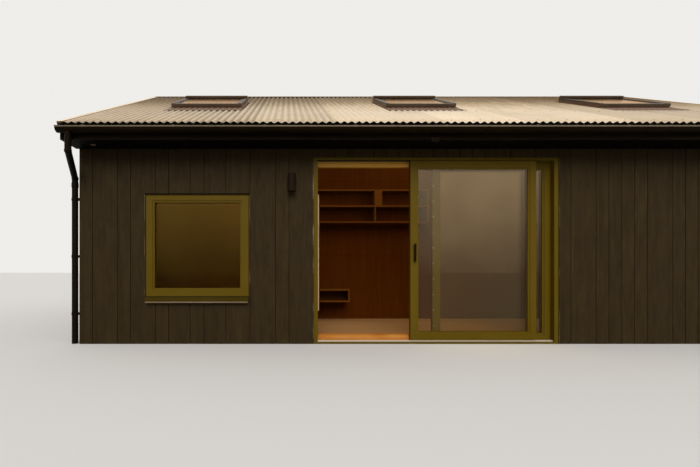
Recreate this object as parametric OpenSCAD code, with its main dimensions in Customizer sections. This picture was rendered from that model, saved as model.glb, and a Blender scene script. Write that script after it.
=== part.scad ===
// Garden office: a timber studio with a corrugated metal gable roof, three roof windows,
// boxed eaves with half-round gutters, one square window and a two-panel sliding door.
// Origin at ground level, under the middle of the ridge. X runs along the front,
// the front faces -Y and +Z is up. All sizes are in millimetres.

/* [Building] */
// Length over the gable cladding
wall_l = 8400; // [7600:50:9600]
// Depth over the front and back cladding
wall_d = 5900; // [5400:50:6800]
// Height of the soffit above the top of the door frame
head_gap = 110; // [60:1:140]
// Thickness of the vertical boards
clad_t = 20; // [16:1:28]
// Thickness of the framed and insulated wall behind the boards
core_t = 150; // [120:5:190]
// Thickness of the plywood linings
ply_t = 12; // [9:1:18]
// Thickness of the floor
floor_t = 40; // [25:5:60]

/* [Roof] */
// Slope of the roof in degrees
pitch = 25.5; // [20:0.5:32]
// Thickness of the insulated roof deck
roof_t = 161; // [140:1:220]
// Depth of the boxed eaves, from the boards to the back of the fascia
soffit_d = 332; // [240:2:420]
// Thickness of the soffit boards
soffit_t = 12; // [9:1:18]
// Thickness of the fascia and barge boards
fascia_t = 20; // [16:1:28]
// How far the sheets reach past the fascia
sheet_out = 60; // [45:5:75]
// Distance from one corrugation to the next
rib_pitch = 76.2; // [70:0.1:90]
// Height of the corrugations
rib_h = 18; // [12:1:22]
// Thickness of the sheets
sheet_t = 1; // [0.8:0.1:1.5]
// How far the sheets reach past the gable boards
verge_gap = 30; // [25:1:60]
// Gap between the top ends of the sheets and the peak
ridge_gap = 20; // [10:5:60]
// Width of each leg of the ridge cap
ridge_leg = 130; // [100:5:180]
// Width of the verge trim on the sheets
verge_w = 60; // [45:5:90]
// Depth of the verge trim down the barge board
verge_drop = 45; // [30:5:70]

/* [Gutters] */
// Outer diameter of the half-round gutters
gutter_d = 112; // [100:1:125]
// Wall of the gutters and downpipes
gutter_t = 3; // [2:0.5:4]
// Height of the gutter lip above the soffit
gutter_lip_z = 97; // [90:1:130]
// Diameter of the rolled lip of the gutters
lip_d = 12; // [8:1:16]
// Distance between the gutter straps
strap_step = 932; // [800:1:1050]
// Distance from the end of a gutter to its first strap
strap_first = 720; // [300:5:780]
// Width of a gutter strap
strap_w = 25; // [20:1:40]
// Thickness of a gutter strap
strap_t = 4; // [3:0.5:6]
// Diameter of the downpipes
pipe_d = 68; // [60:1:80]
// Distance from the end of a gutter to its downpipe
pipe_in = 114; // [80:1:200]
// Height of the sockets of the downpipes
socket_h = 50; // [40:5:70]
// Diameter of the elbows, sockets and clips of the downpipes
elbow_d = 76; // [76:1:92]
// Distance from the soffit down to the middle of the first elbow of a downpipe
elbow_drop = 143; // [100:1:190]
// Turn of the elbows in degrees
bend_turn = 67.5; // [45:0.5:70]
// Gap between a downpipe and the gable wall
pipe_gap = 30; // [20:1:45]
// Distance from the corner of the wall to the middle of a downpipe
pipe_back = 38; // [38:1:80]
// Height of the pipe clips
clip_h = 30; // [20:1:40]
// Distance between the pipe clips
clip_step = 650; // [500:10:750]

/* [Roof windows] */
// Number of roof windows
rooflight_n = 3; // [1:1:3]
// Distance between the roof windows
rooflight_step = 2900; // [2400:50:3000]
// How far the roof windows stand left of the middle
rooflight_shift = 40; // [-60:5:60]
// Width of a roof window
rooflight_w = 942; // [780:1:1140]
// Length of a roof window up the slope
rooflight_l = 978; // [780:1:1178]
// Distance from the lower end of the deck to the roof windows, up the slope
rooflight_up = 1455; // [1200:5:1600]
// How far the frames stand above the deck
rooflight_h = 68; // [60:1:110]
// Width of the roof window frame
rooflight_frame = 85; // [65:1:100]
// Width of the flashing round the roof windows
flash_w = 30; // [20:5:110]
// Length of the apron below a roof window
apron_l = 350; // [200:10:400]
// How far the apron dips into the hollows of the sheets
apron_dip = 8; // [5:1:10]
// Thickness of the flashings
flash_t = 3; // [2:0.5:4]
// Length of the hood at the top of a roof window
hood_l = 60; // [50:5:120]
// Gap between the roof window and its hood
hood_gap = 16; // [10:1:24]
// Thickness of the hood
hood_h = 24; // [16:1:32]

// How far the hood and the foot of a roof window stand out past its frame
nose_out = 8; // [5:1:12]
// Height of the nose at the foot of a roof window
nose_h = 38; // [30:1:40]
// Height of the covers on the sides of a roof window
cover_h = 5; // [3:1:8]
// How far the glass of a roof window lies below its frame
glass_dip = 9; // [9:1:14]

/* [Window] */
// Width of the window
window_w = 1160; // [900:10:1300]
// Height of the window
window_h = 1160; // [900:10:1300]
// Height of the window above the ground
window_z = 536; // [450:2:700]
// Distance from the left corner of the building to the window
window_in = 755; // [600:5:850]
// Width of the window's frame members
frame_w = 95; // [70:1:110]
// Depth of the window frame
frame_d = 90; // [70:1:110]
// Thickness of the sealed glass units
glass_t = 24; // [18:1:30]
// How far the glass sits in the frames
glass_in = 12; // [8:1:18]
// Width of the glazing beads
bead_w = 22; // [16:1:26]
// How far the glazing beads lie back
bead_t = 8; // [5:1:12]
// How far the window sill stands out
sill_out = 45; // [30:1:70]
// Height of the front of the window sill
sill_h = 40; // [30:1:55]
// Fall of the window sill from the wall to its front
sill_fall = 8; // [5:1:15]
// How far the window sill reaches past the window at each end
sill_ear = 0; // [0:5:60]

/* [Sliding door] */
// Width of the door frame
door_w = 2760; // [2500:10:2900]
// Height of the door frame
door_h = 2106; // [2050:2:2160]
// Distance from the window to the door frame
door_from_window = 739; // [600:1:900]
// Width of the door jambs and the thickness of the head
jamb_w = 44; // [40:1:60]
// Thickness of the head over the panels
head_t = 28; // [22:1:40]
// Height of the bottom member of the frame
foot_t = 22; // [18:1:40]
// Depth of the door frame
door_d = 150; // [144:1:165]
// Thickness of the door panels
panel_t = 58; // [50:1:62]
// Width of the stiles and rails of the door panels
stile_w = 92; // [75:1:100]
// Width of the sliding panel
slide_w = 1424; // [1300:1:1500]
// Overlap of the two panels when the door is shut
panel_lap = 110; // [90:1:140]
// Height of the sliding panel above the bottom member, where its rail runs
panel_up = 24; // [20:1:30]
// Running clearance round the sliding panel
run_gap = 6; // [5:0.5:8]
// Diameter of the wheels under the sliding panel
wheel_d = 30; // [26:1:36]
// Length of the roller carriages
carriage_l = 120; // [100:5:160]
// Width of the roller carriages
carriage_w = 24; // [20:1:28]
// Height of the pockets for the roller carriages
carriage_h = 40; // [34:1:48]
// Distance from the ends of the sliding panel to its roller carriages
carriage_in = 160; // [120:5:300]
// Height of the lower end of the door handle
handle_z = 930; // [800:10:1000]
// Length of the door handle
handle_l = 200; // [160:5:400]
// Width of the door handle
handle_w = 24; // [18:1:30]
// How far the door handle stands off the panel
handle_out = 46; // [42:1:56]
// How far the sliding panel stands open
door_open = 1042; // [0:1:1150]
// Height of the timber threshold above the ground
threshold_h = 96; // [90:1:120]
// Height of the timber board at the head of the doorway
head_board_h = 60; // [50:1:90]

/* [Room] */
// Depth of the front room, from the outside of the boards to the inner wall
room_d = 2150; // [1900:10:2600]
// Thickness of the inner wall
inner_wall_t = 100; // [80:5:140]
// How far the bookcase and the console start left of the door frame
bookcase_left = 105; // [50:5:300]
// Width of the bookcase
bookcase_w = 2020; // [1600:10:2200]
// Height of the lowest shelf above the ground
bookcase_z = 1571; // [1400:1:1620]
// Distance between the shelves
shelf_step = 250; // [220:2:280]
// Depth of the shelves
shelf_d = 280; // [220:5:320]
// Thickness of the shelf boards
shelf_t = 22; // [18:1:28]
// Distance from the left end of the bookcase to its inner upright
bookcase_upright = 1168; // [900:1:1500]
// Width of the closed box beside the upright, between the upper shelves
shelf_box_w = 120; // [80:5:200]
// Width of the wall-hung console
console_w = 770; // [600:10:1100]
// Height of the underside of the console above the ground
console_z = 334; // [250:2:400]
// Height of the console
console_h = 200; // [160:5:260]
// Depth of the console
console_d = 350; // [280:5:400]
// Height of the skirting board
skirting_h = 45; // [30:1:80]

/* [Lights] */
// Diameter of the wall light
lamp_d = 90; // [70:1:110]
// Height of the wall light
lamp_h = 200; // [150:1:260]
// Height of the underside of the wall light
lamp_z = 1713; // [1500:1:1850]
// Distance from the door frame to the middle of the wall light
lamp_from_door = 252; // [150:1:320]
// Gap between the wall light and the wall
lamp_gap = 24; // [15:1:40]
// Wall thickness of the wall light
lamp_wall = 6; // [4:1:10]
// Depth of the recesses at the ends of the wall light
lamp_recess = 14; // [8:1:30]
// Diameter of the lights in the soffit
spot_d = 55; // [45:1:110]
// Distance from the corners of the building to the soffit lights
spot_in = 235; // [180:5:400]
// Width of the sensor under the fascia
sensor_w = 80; // [60:5:100]
// Height of the sensor
sensor_h = 36; // [28:1:44]
// How far the body of the sensor hangs below the top of the soffit boards
sensor_drop = 30; // [0:2:32]
// Diameter of the lens of the sensor
lens_d = 44; // [30:1:48]
// Distance from the door frame to the middle of the sensor
sensor_in = 1244; // [800:2:1800]
// Thickness of the rim of the soffit lights
spot_rim = 4; // [2:0.5:6]

/* [Hidden] */
$fn = 48;

// Colours of the materials
black_wood = [0.16, 0.14, 0.11];
black_metal = [0.10, 0.09, 0.08];
pale_metal = [0.78, 0.72, 0.64];
dark_metal = [0.30, 0.27, 0.24];
green = [0.40, 0.37, 0.16];
ply = [0.72, 0.48, 0.25];
glass = [0.60, 0.70, 0.70, 0.5];

// Gap of pieces that only rest against each other
fit_gap = 0.2;

// Places on the plan
half_l = wall_l / 2;
half_d = wall_d / 2;
core_out = half_l - clad_t;
core_in = core_out - core_t;
front_out = -half_d + clad_t;
front_in = front_out + core_t;
room_front = front_in + ply_t;
room_back = -half_d + room_d;
room_side = core_in - ply_t;

// The roof in section
soffit_z = door_h + head_gap;
slope_y = half_d + soffit_d;
rise = tan(pitch);
plumb_t = roof_t / cos(pitch);
ply_plumb = ply_t / cos(pitch);
slope_l = slope_y / cos(pitch);
roof_half = half_l + verge_gap;
deck_l = roof_half - fascia_t;
sheet_mid = (rib_h + sheet_t) / 2;
sheet_low = -(fascia_t + sheet_out) / cos(pitch);
sheet_high = slope_l - ridge_gap;
rib_n = round(2 * roof_half / rib_pitch);
rib_step = 2 * roof_half / rib_n;
rib_points = 8;
rooflight_groove = roof_t + rooflight_h - glass_t - glass_dip;
wave_n = rib_n * rib_points;

// Place of the gutters, between the fascia and the sheets' edge
gutter_r = gutter_d / 2;
gutter_y = slope_y + fascia_t + strap_t + gutter_r;
gutter_z = soffit_z + gutter_lip_z;
strap_n = floor((2 * roof_half - strap_first - strap_w) / strap_step) + 1;

// Places of the downpipe: under the gutter, and down the gable wall
pipe_x = -roof_half + pipe_in;
wall_pipe_x = -half_l - pipe_gap - pipe_d / 2;
wall_pipe_y = -half_d + pipe_back;
pipe_run = norm([wall_pipe_x - pipe_x, wall_pipe_y + gutter_y]);
pipe_dir = atan2(wall_pipe_y + gutter_y, wall_pipe_x - pipe_x);
slant_l = pipe_run / sin(bend_turn);
elbow_z = soffit_z - elbow_drop;
lower_elbow_z = elbow_z - slant_l * cos(bend_turn);

// Places of the openings in the front
window_x = -half_l + window_in;
door_x = window_x + window_w + door_from_window;
door_right = door_x + door_w;
front_face = -half_d;

// The two tracks of the door
panel_z0 = foot_t + panel_up;
rail_top = panel_z0 - run_gap;
wheel_z = rail_top + 0.3 + wheel_d / 2;
panel_z1 = door_h - head_t - run_gap;
fixed_w = door_w - 2 * jamb_w - run_gap - slide_w + panel_lap;
slide_y0 = front_face + 6;
fixed_y0 = slide_y0 + panel_t + run_gap + 2;
slide_x = door_x + jamb_w + run_gap + door_open;
fixed_x = door_right - jamb_w - fixed_w;

function under(y) = soffit_z + (slope_y - abs(y)) * rise;

// A section in Y and Z, drawn out along X from x0 to x1
module along_x(x0, x1, section) {
    translate([x0, 0, 0]) rotate([90, 0, 90]) linear_extrude(x1 - x0) polygon(section);
}

// A block between two opposite corners
module block(low, high) {
    translate(low) cube(high - low);
}

// Turns what follows onto the front slope: x along the eaves, y up the slope and z out
// of it, from the lower end of the deck's top face
module on_front_slope() {
    translate([0, -slope_y, soffit_z + plumb_t]) rotate([pitch, 0, 0]) children();
}

module on_back_slope() {
    rotate([0, 0, 180]) on_front_slope() children();
}

// A wall that runs along X between y0 and y1, with its top cut to the roof's underside
module long_wall(x0, x1, y0, y1, z0, top = 0) {
    down = top + fit_gap;
    along_x(x0, x1, [[y0, z0], [y1, z0], [y1, under(y1) - down], [y0, under(y0) - down]]);
}

// A gable-shaped wall between x0 and x1, from y0 to y1
module gable(x0, x1, y0, y1, z0, top = 0) {
    down = top + fit_gap;
    ridge = y0 < 0 && y1 > 0 ? [[0, under(0) - down]] : [];
    along_x(x0, x1, concat([[y0, z0], [y1, z0], [y1, under(y1) - down]], ridge,
        [[y0, under(y0) - down]]));
}

// The middle of each roof window, and its lower left corner
function rooflight_x(i) = (i - (rooflight_n - 1) / 2) * rooflight_step - rooflight_shift;

module at_rooflights() {
    for (i = [0 : rooflight_n - 1])
        translate([rooflight_x(i) - rooflight_w / 2, rooflight_up, 0]) children();
}

module rooflight_holes() {
    on_front_slope() at_rooflights()
        block([0, 0, -2 * roof_t], [rooflight_w, rooflight_l, roof_t]);
}

// The hole of the window, from the face of the boards to the room
module window_hole() {
    block([window_x, front_face - 1, window_z], [window_x + window_w, room_front + 1, window_z + window_h]);
}

module door_hole() {
    block([door_x, front_face - 1, -1], [door_right, room_front + 1, door_h]);
}

module floor() {
    color(ply) block([-core_in, front_in, 0], [core_in, -front_in, floor_t]);
}

module front_wall_left() {
    color(ply) difference() {
        long_wall(-core_out, door_x, front_out, front_in, 0);
        window_hole();
    }
}

module front_wall_over_door() {
    color(ply) long_wall(door_x, door_right, front_out, front_in, door_h);
}

module front_wall_right() {
    color(ply) long_wall(door_right, core_out, front_out, front_in, 0);
}

module back_wall() {
    color(ply) long_wall(-core_out, core_out, -front_in, -front_out, 0);
}

module left_gable_wall() {
    color(ply) gable(-core_out, -core_in, front_in, -front_in, 0);
}

module right_gable_wall() {
    color(ply) gable(core_in, core_out, front_in, -front_in, 0);
}

module inner_wall() {
    color(ply) long_wall(-core_in, core_in, room_back, room_back + inner_wall_t, floor_t);
    color(ply) block([-room_side, room_back - ply_t, floor_t], [room_side, room_back, floor_t + skirting_h]);
}

module front_cladding() {
    color(black_wood) difference() {
        long_wall(-core_out, core_out, front_face, front_out, 0);
        window_hole();
        door_hole();
    }
}

module back_cladding() {
    color(black_wood) long_wall(-core_out, core_out, -front_out, -front_face, 0);
}

module gable_cladding() {
    color(black_wood) gable(-half_l, -core_out, front_face, -front_face, 0);
    color(black_wood) gable(core_out, half_l, front_face, -front_face, 0);
}

// The linings of the front room: its front wall and its two ends
module wall_linings() {
    color(ply) difference() {
        long_wall(-core_in, core_in, front_in, room_front, floor_t, ply_plumb);
        window_hole();
        door_hole();
    }
    for (side = [-1, 1])
        color(ply) gable(min(side * core_in, side * room_side), max(side * core_in, side * room_side),
            room_front, room_back, floor_t, ply_plumb);
}

module ceiling() {
    color(ply) difference() {
        along_x(-core_in, core_in, [[front_in, under(front_in) - ply_plumb],
            [room_back, under(room_back) - ply_plumb], [room_back, under(room_back)],
            [front_in, under(front_in)]]);
        rooflight_holes();
    }
}

module deck_half() {
    along_x(-deck_l, deck_l, [[-slope_y, soffit_z], [0, under(0)], [0, under(0) + plumb_t],
        [-slope_y, soffit_z + plumb_t]]);
}

module roof_deck_front() {
    color(ply) difference() {
        deck_half();
        rooflight_holes();
    }
}

module roof_deck_back() {
    color(ply) rotate([0, 0, 180]) deck_half();
}

// The wave of the sheets, as points along X at a height above the deck
function wave(i) = [-roof_half + i * rib_step / rib_points,
    sheet_mid + rib_h / 2 * cos(i * 360 / rib_points)];

module sheets(low, high) {
    up = [for (i = [0 : wave_n]) wave(i) + [0, sheet_t / 2]];
    down = [for (i = [wave_n : -1 : 0]) wave(i) - [0, sheet_t / 2]];
    translate([0, high, 0]) rotate([90, 0, 0]) linear_extrude(high - low) polygon(concat(up, down));
}

module roof_sheets_front() {
    color(pale_metal) difference() {
        on_front_slope() sheets(sheet_low, sheet_high);
        on_front_slope() at_rooflights()
            block([-1, -1, -1], [rooflight_w + 1, rooflight_l + 1, rooflight_h]);
    }
}

module roof_sheets_back() {
    color(pale_metal) on_back_slope() sheets(sheet_low, sheet_high);
}

// The ridge cap lies on the crests of the sheets
module ridge_cap() {
    crest = under(0) + plumb_t + (rib_h + sheet_t) / cos(pitch);
    leg_y = ridge_leg * cos(pitch);
    leg_z = ridge_leg * sin(pitch);
    cap_t = 1.5 / cos(pitch);
    color(pale_metal) along_x(-roof_half, roof_half, [[-leg_y, crest - leg_z], [0, crest],
        [leg_y, crest - leg_z], [leg_y, crest - leg_z + cap_t], [0, crest + cap_t],
        [-leg_y, crest - leg_z + cap_t]]);
}

// One verge trim: an angle over the edge of the sheets and down the barge board
module verge_angle(side) {
    x0 = side * roof_half;
    outer = side * (roof_half + 2);
    crest = rib_h + sheet_t;
    block([min(x0 - side * verge_w, outer), sheet_low, crest],
        [max(x0 - side * verge_w, outer), slope_l - ridge_leg - 5, crest + 2]);
    inner = side * (roof_half + fit_gap);
    block([min(inner, outer), sheet_low, crest - verge_drop],
        [max(inner, outer), slope_l - ridge_leg - 5, crest + 1]);
}

module verge_trims() {
    for (side = [-1, 1])
        color(pale_metal) {
            on_front_slope() verge_angle(side);
            on_back_slope() verge_angle(side);
        }
}

module barge_boards() {
    for (side = [-1, 1])
        color(black_wood) gable_board(side);
}

// A barge board with the deck's section and boxed ends under the eaves, at one gable end
module gable_board(side) {
    x0 = side * deck_l;
    x1 = side * roof_half;
    box_z = soffit_z - soffit_t;
    along_x(min(x0, x1), max(x0, x1), [[-slope_y, box_z], [-half_d, box_z], [-half_d, under(half_d)],
        [0, under(0)], [half_d, under(half_d)], [half_d, box_z], [slope_y, box_z],
        [slope_y, soffit_z + plumb_t], [0, under(0) + plumb_t], [-slope_y, soffit_z + plumb_t]]);
}

module fascia() {
    block([-roof_half, -slope_y - fascia_t, soffit_z - soffit_t],
        [roof_half, -slope_y, soffit_z + plumb_t - fascia_t * rise]);
}

module fascia_boards() {
    color(black_wood) fascia();
    color(black_wood) rotate([0, 0, 180]) fascia();
}

module soffit() {
    block([-deck_l, -slope_y, soffit_z - soffit_t], [deck_l, front_face, soffit_z]);
}

module soffits() {
    color(black_wood) difference() {
        soffit();
        spots();
    }
    color(black_wood) rotate([0, 0, 180]) soffit();
}

// A half-round gutter with stopped ends, seen from its end
module gutter() {
    translate([-roof_half, -gutter_y, gutter_z]) rotate([90, 0, 90]) {
        linear_extrude(2 * roof_half) half_ring(gutter_r, gutter_r - gutter_t);
        translate([-gutter_r, 0, 0]) cylinder(h = 2 * roof_half, d = lip_d);
        for (x = [0, 2 * roof_half - gutter_t])
            translate([0, 0, x]) linear_extrude(gutter_t) half_ring(gutter_r - gutter_t, 0);
    }
}

// The straps of one gutter, with a back plate each on the fascia
module straps() {
    plate_h = 0.8 * gutter_r;
    for (i = [0 : strap_n - 1])
        translate([-roof_half + strap_first + i * strap_step - strap_w / 2, -gutter_y, gutter_z])
            rotate([90, 0, 90]) linear_extrude(strap_w) {
                difference() {
                    half_ring(gutter_r + strap_t, gutter_r);
                    translate([-gutter_r, 0]) circle(d = lip_d);
                }
                difference() {
                    translate([gutter_r, -plate_h]) square([strap_t, plate_h]);
                    circle(gutter_r);
                }
            }
}

module half_ring(outer, inner) {
    intersection() {
        difference() {
            circle(outer);
            if (inner > 0) circle(inner);
        }
        translate([-outer, -outer]) square([2 * outer, outer]);
    }
}

module front_gutter() {
    color(black_metal) difference() {
        gutter();
        pipe_bore();
    }
}

module back_gutter() {
    color(black_metal) rotate([0, 0, 180]) difference() {
        gutter();
        pipe_bore();
    }
}

module gutter_straps() {
    color(black_metal) straps();
    color(black_metal) rotate([0, 0, 180]) straps();
}

// The outlet of the gutter, as far down as the first elbow
module pipe_bore() {
    translate([pipe_x, -gutter_y, elbow_z]) cylinder(h = gutter_z - elbow_z, d = pipe_d - 2 * gutter_t);
}

// The straight runs of a pipe from the gutter back to the wall and down it, with its elbows
module pipe_path(d, elbow, bottom) {
    translate([pipe_x, -gutter_y, elbow_z]) {
        cylinder(h = gutter_z - elbow_z, d = d);
        sphere(d = elbow);
        rotate([0, 0, pipe_dir]) rotate([0, 180 - bend_turn, 0]) cylinder(h = slant_l, d = d);
    }
    translate([wall_pipe_x, wall_pipe_y, 0]) {
        translate([0, 0, lower_elbow_z]) sphere(d = elbow);
        translate([0, 0, bottom]) cylinder(h = lower_elbow_z - bottom, d = d);
    }
}

// A clip round the pipe, with a foot on the gable wall
module pipe_clip(z) {
    translate([wall_pipe_x, wall_pipe_y, z]) {
        cylinder(h = clip_h, d = elbow_d);
        translate([0, -clip_h / 2, 0]) cube([pipe_d / 2 + pipe_gap, clip_h, clip_h]);
    }
}

// A pipe that leaves the gutter, bends back under the eaves and runs down the gable wall
module downpipe() {
    bore = pipe_d - 2 * gutter_t;
    difference() {
        union() {
            pipe_path(pipe_d, elbow_d, 0);
            translate([wall_pipe_x, wall_pipe_y, lower_elbow_z - 2 * socket_h])
                cylinder(h = socket_h, d = elbow_d);
            for (z = [clip_step / 2 : clip_step : lower_elbow_z - 2 * socket_h - clip_h])
                pipe_clip(z);
        }
        pipe_path(bore, bore + 2, -1);
        translate([pipe_x - gutter_d, -gutter_y, gutter_z]) rotate([0, 90, 0])
            cylinder(h = 2 * gutter_d, r = gutter_r);
    }
}

module downpipes() {
    color(black_metal) downpipe();
    color(black_metal) rotate([0, 0, 180]) downpipe();
}

// A flat frame in X and Y with a groove for its glass, and beads that lie back on its outer face
module sash(w, h, depth, member, groove_z) {
    bead = member - bead_w;
    difference() {
        cube([w, h, depth]);
        translate([bead, bead, depth - bead_t]) cube([w - 2 * bead, h - 2 * bead, depth]);
        translate([member, member, -1]) cube([w - 2 * member, h - 2 * member, depth + 2]);
        translate([member - glass_in, member - glass_in, groove_z])
            cube([w - 2 * (member - glass_in), h - 2 * (member - glass_in), glass_t]);
    }
}

module pane(w, h, member, groove_z) {
    translate([member - glass_in, member - glass_in, groove_z])
        cube([w - 2 * (member - glass_in), h - 2 * (member - glass_in), glass_t]);
}

// Stands a flat frame up in the front wall, its outer face at y0
module upright(x, y0, z, depth) {
    translate([x, y0 + depth, z]) rotate([90, 0, 0]) children();
}

// The frames reach from the ceiling up to their covers, with a nose at the foot and a hood at the
// top that stands clear of the glass
module roof_window_frames() {
    half = nose_out / 2;
    top = hood_gap + hood_h;
    nose = [[-nose_out, -nose_h], [-nose_out, -half], [-half, 0], [1, 0], [1, -nose_h]];
    hood = [[rooflight_l - hood_l, hood_gap], [rooflight_l - hood_l, top - half],
        [rooflight_l - hood_l + nose_out, top], [rooflight_l + nose_out, top],
        [rooflight_l + nose_out, -nose_h], [rooflight_l - 1, -nose_h], [rooflight_l - 1, hood_gap]];
    color(dark_metal) on_front_slope() at_rooflights() {
        translate([0, 0, -roof_t])
            sash(rooflight_w, rooflight_l, roof_t + rooflight_h, rooflight_frame, rooflight_groove);
        translate([0, 0, rooflight_h]) {
            along_x(-half, rooflight_w + half, nose);
            along_x(-half, rooflight_w + half, hood);
            for (x = [-half, rooflight_w + half - rooflight_frame / 2])
                block([x, 0, -1], [x + rooflight_frame / 2, rooflight_l - hood_l, cover_h]);
            for (x = [-half, rooflight_w + half - nose_out])
                block([x, rooflight_l - hood_l, -1], [x + nose_out, rooflight_l, hood_gap + 1]);
        }
    }
}

module roof_window_glass() {
    color(glass) on_front_slope() at_rooflights()
        translate([0, 0, -roof_t]) pane(rooflight_w, rooflight_l, rooflight_frame, rooflight_groove);
}

// A flashing round each frame, on the crests of the sheets, with an upstand against the frame
module roof_window_flashings() {
    crest = rib_h + sheet_t;
    lap = 1 + fit_gap;
    color(dark_metal) on_front_slope() {
        at_rooflights() difference() {
            union() {
                block([-flash_w, -flash_w, crest],
                    [rooflight_w + flash_w, rooflight_l + flash_w, crest + flash_t]);
                block([-flash_t, lap, crest], [rooflight_w + flash_t, rooflight_l - lap, crest + 10 * flash_t]);
            }
            block([0, 0, 0], [rooflight_w, rooflight_l, 2 * rooflight_h]);
        }
        for (i = [0 : rooflight_n - 1])
            apron(rooflight_x(i));
    }
}

// The apron below a roof window: it lies on the crests and dips a little into each hollow
module apron(middle) {
    reach = rooflight_w / 2 + flash_w;
    first = ceil((middle - reach + roof_half) / rib_step * rib_points);
    last = floor((middle + reach + roof_half) / rib_step * rib_points);
    under_side = [for (i = [first : last])
        [wave(i)[0], rib_h + sheet_t - apron_dip / 2 * (1 - cos(i * 360 / rib_points))]];
    top_side = [for (i = [last : -1 : first])
        [wave(i)[0], rib_h + sheet_t + flash_t - apron_dip / 2 * (1 - cos(i * 360 / rib_points))]];
    translate([0, rooflight_up - flash_w / 2, 0]) rotate([90, 0, 0])
        linear_extrude(apron_l - flash_w / 2) polygon(concat(under_side, top_side));
}

module window_frame() {
    color(green) upright(window_x, front_face + 5, window_z, frame_d)
        sash(window_w, window_h, frame_d, frame_w, (frame_d - glass_t) / 2);
}

module window_glass() {
    color(glass) upright(window_x, front_face + 5, window_z, frame_d)
        pane(window_w, window_h, frame_w, (frame_d - glass_t) / 2);
}

module window_sill() {
    front = front_face - sill_out;
    color(green) along_x(window_x - sill_ear, window_x + window_w + sill_ear, [
        [front, window_z - sill_fall - sill_h], [front_face, window_z - sill_fall - sill_h],
        [front_face, window_z], [front, window_z - sill_fall]]);
}

module door_frame() {
    color(green) difference() {
        block([door_x, front_face, 0], [door_right, front_face + door_d, door_h]);
        block([door_x + jamb_w, front_face - 1, foot_t],
            [door_right - jamb_w, front_face + door_d + 1, door_h - head_t]);
    }
}

// The running rail for the sliding panel
module door_track() {
    rail_y = slide_y0 + panel_t / 2;
    color("silver") block([door_x + jamb_w, rail_y - 8, foot_t],
        [door_right - jamb_w, rail_y + 8, rail_top]);
}

module door_threshold() {
    color(ply) block([door_x + jamb_w, fixed_y0, foot_t], [fixed_x, front_in, threshold_h]);
    color(ply) block([fixed_x, fixed_y0 + panel_t, foot_t],
        [door_right - jamb_w, front_in, threshold_h]);
}

module door_head_board() {
    color(ply) block([door_x + jamb_w, fixed_y0, door_h - head_t - head_board_h],
        [fixed_x, fixed_y0 + panel_t, door_h - head_t]);
}

module fixed_panel() {
    color(green) upright(fixed_x, fixed_y0, foot_t, panel_t)
        sash(fixed_w, door_h - head_t - foot_t, panel_t, stile_w, (panel_t - glass_t) / 2);
}

module fixed_glass() {
    color(glass) upright(fixed_x, fixed_y0, foot_t, panel_t)
        pane(fixed_w, door_h - head_t - foot_t, stile_w, (panel_t - glass_t) / 2);
}

// The places of the roller carriages, in the underside of the sliding panel
module at_carriages() {
    for (x = [carriage_in, slide_w - carriage_in])
        translate([slide_x + x, slide_y0 + panel_t / 2, 0]) children();
}

module sliding_panel() {
    color(green) difference() {
        upright(slide_x, slide_y0, panel_z0, panel_t)
            sash(slide_w, panel_z1 - panel_z0, panel_t, stile_w, (panel_t - glass_t) / 2);
        at_carriages() block([-carriage_l / 2, -carriage_w / 2, panel_z0 - 1],
            [carriage_l / 2, carriage_w / 2, panel_z0 + carriage_h]);
    }
}

// Two carriages with two wheels each, which run on the rail
module door_rollers() {
    wheel_x = carriage_l / 2 - wheel_d / 2 - 8;
    color("silver") at_carriages() {
        block([-carriage_l / 2, -carriage_w / 2, wheel_z],
            [carriage_l / 2, carriage_w / 2, panel_z0 + carriage_h]);
        for (x = [-wheel_x, wheel_x])
            translate([x, carriage_w / 4, wheel_z]) rotate([90, 0, 0])
                cylinder(h = carriage_w / 2, d = wheel_d);
    }
}

module sliding_glass() {
    color(glass) upright(slide_x, slide_y0, panel_z0, panel_t)
        pane(slide_w, panel_z1 - panel_z0, stile_w, (panel_t - glass_t) / 2);
}

// A pull handle on the left stile of the sliding panel, on two posts
module door_handle() {
    x = slide_x + stile_w / 2;
    post_d = 0.6 * handle_w;
    color(dark_metal) translate([x, slide_y0 - handle_out + handle_w / 2, handle_z])
        cylinder(h = handle_l, d = handle_w);
    for (z = [handle_z + handle_w, handle_z + handle_l - handle_w])
        color(dark_metal) translate([x, slide_y0, z]) rotate([90, 0, 0])
            cylinder(h = handle_out - handle_w / 2, d = post_d);
}

// A round wall light, open above and below, on a small bracket
module wall_light() {
    lamp_y = front_face - lamp_gap - lamp_d / 2;
    bracket_h = lamp_h / 3;
    color(black_metal) difference() {
        union() {
            translate([door_x - lamp_from_door, lamp_y, lamp_z]) cylinder(h = lamp_h, d = lamp_d);
            translate([door_x - lamp_from_door - lamp_d / 4, lamp_y, lamp_z + (lamp_h - bracket_h) / 2])
                cube([lamp_d / 2, front_face - lamp_y, bracket_h]);
        }
        for (z = [lamp_z - 1, lamp_z + lamp_h - lamp_recess])
            translate([door_x - lamp_from_door, lamp_y, z])
                cylinder(h = lamp_recess + 1, d = lamp_d - 2 * lamp_wall);
    }
}

// The lights in the front soffit
module spots() {
    for (x = [spot_in - half_l, half_l - spot_in])
        translate([x, -half_d - soffit_d / 2, soffit_z - soffit_t - spot_rim])
            cylinder(h = soffit_t + spot_rim, d = spot_d);
}

module soffit_lights() {
    color(pale_metal) spots();
}

// A small sensor on the lower edge of the front fascia, with a round lens below
module eaves_sensor() {
    x = door_x + sensor_in;
    face = -slope_y - fascia_t;
    low = soffit_z - sensor_drop;
    color(dark_metal) {
        block([x - sensor_w / 2, face - lens_d / 2, low], [x + sensor_w / 2, face, low + sensor_h]);
        translate([x, face - lens_d / 2 - 1, low]) sphere(d = lens_d);
    }
}

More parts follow.
